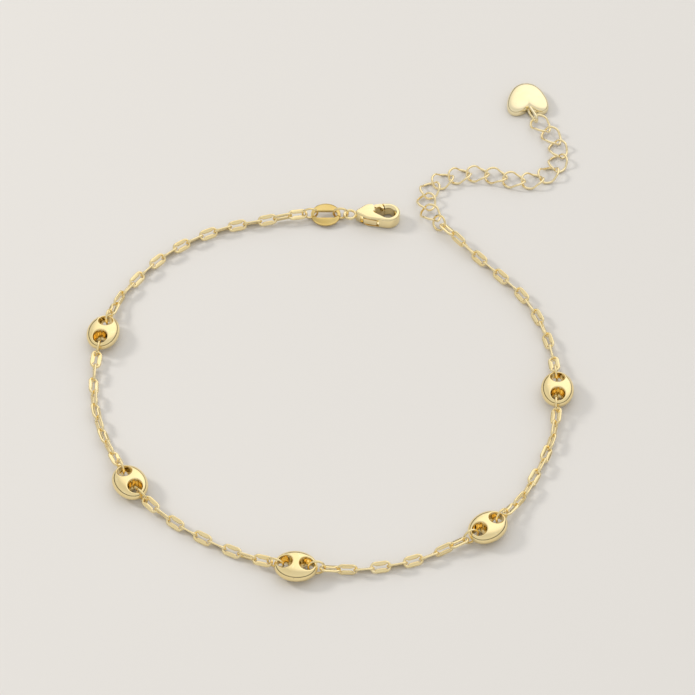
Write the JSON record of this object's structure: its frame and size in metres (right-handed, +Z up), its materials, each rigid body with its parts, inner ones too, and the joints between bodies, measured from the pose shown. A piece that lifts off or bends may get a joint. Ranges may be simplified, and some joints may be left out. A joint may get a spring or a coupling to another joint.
{
  "type": "chain anklet",
  "caption": "Gold-plated chain anklet lying open in a loop, with oval puffed beads along a fine chain, a lobster clasp, a slotted tag, and an extender chain ending in a heart drop",
  "frame": {"origin": "middle of the outline seen from above, on the surface the anklet lies on", "axes": "+Z up from the surface, +Y from the loop towards the heart drop's end, +X to the right seen from above"},
  "size_m": [0.0864, 0.1152, 0.0032],
  "materials": {
    "chain_gold": "polished gold plating",
    "ring_gold": "polished gold plating",
    "bead_gold": "polished gold plating",
    "extender_gold": "polished gold plating",
    "clasp_gold": "polished gold plating",
    "lever_gold": "polished gold plating",
    "tag_gold": "polished gold plating",
    "heart_gold": "polished gold plating"
  },
  "bodies": {
    "anklet": {"bead_1": "bead_gold", "bead_1_ring_in": "ring_gold", "bead_1_ring_out": "ring_gold", "bead_2": "bead_gold", "bead_2_ring_in": "ring_gold", "bead_2_ring_out": "ring_gold", "bead_3": "bead_gold", "bead_3_ring_in": "ring_gold", "bead_3_ring_out": "ring_gold", "bead_4": "bead_gold", "bead_4_ring_in": "ring_gold", "bead_4_ring_out": "ring_gold", "bead_5": "bead_gold", "bead_5_ring_in": "ring_gold", "bead_5_ring_out": "ring_gold", "chain_a": "chain_gold", "chain_b": "chain_gold", "chain_c": "chain_gold", "chain_d": "chain_gold", "chain_e": "chain_gold", "chain_f": "chain_gold", "clasp_body": "clasp_gold", "clasp_ring": "ring_gold", "extender_joining_ring": "ring_gold", "extender_ring_01": "extender_gold", "extender_ring_02": "extender_gold", "extender_ring_03": "extender_gold", "extender_ring_04": "extender_gold", "extender_ring_05": "extender_gold", "extender_ring_06": "extender_gold", "extender_ring_07": "extender_gold", "extender_ring_08": "extender_gold", "extender_ring_09": "extender_gold", "extender_ring_10": "extender_gold", "extender_ring_11": "extender_gold", "extender_ring_12": "extender_gold", "extender_ring_13": "extender_gold", "extender_ring_14": "extender_gold", "heart_drop": "heart_gold", "tag": "tag_gold", "tag_ring": "ring_gold"},
    "lever": {"clasp_lever": "lever_gold"}
  },
  "joints": [
    {"name": "lever_hinge", "type": "hinge", "parent": "anklet", "child": "lever", "pos_m": [0.00643, 0.02397, 0.00125], "axis": [0, 0, -1], "range_deg": [0, 25], "stiffness_Nm_per_rad": 0.002, "springref_deg": -11.46}
  ]
}
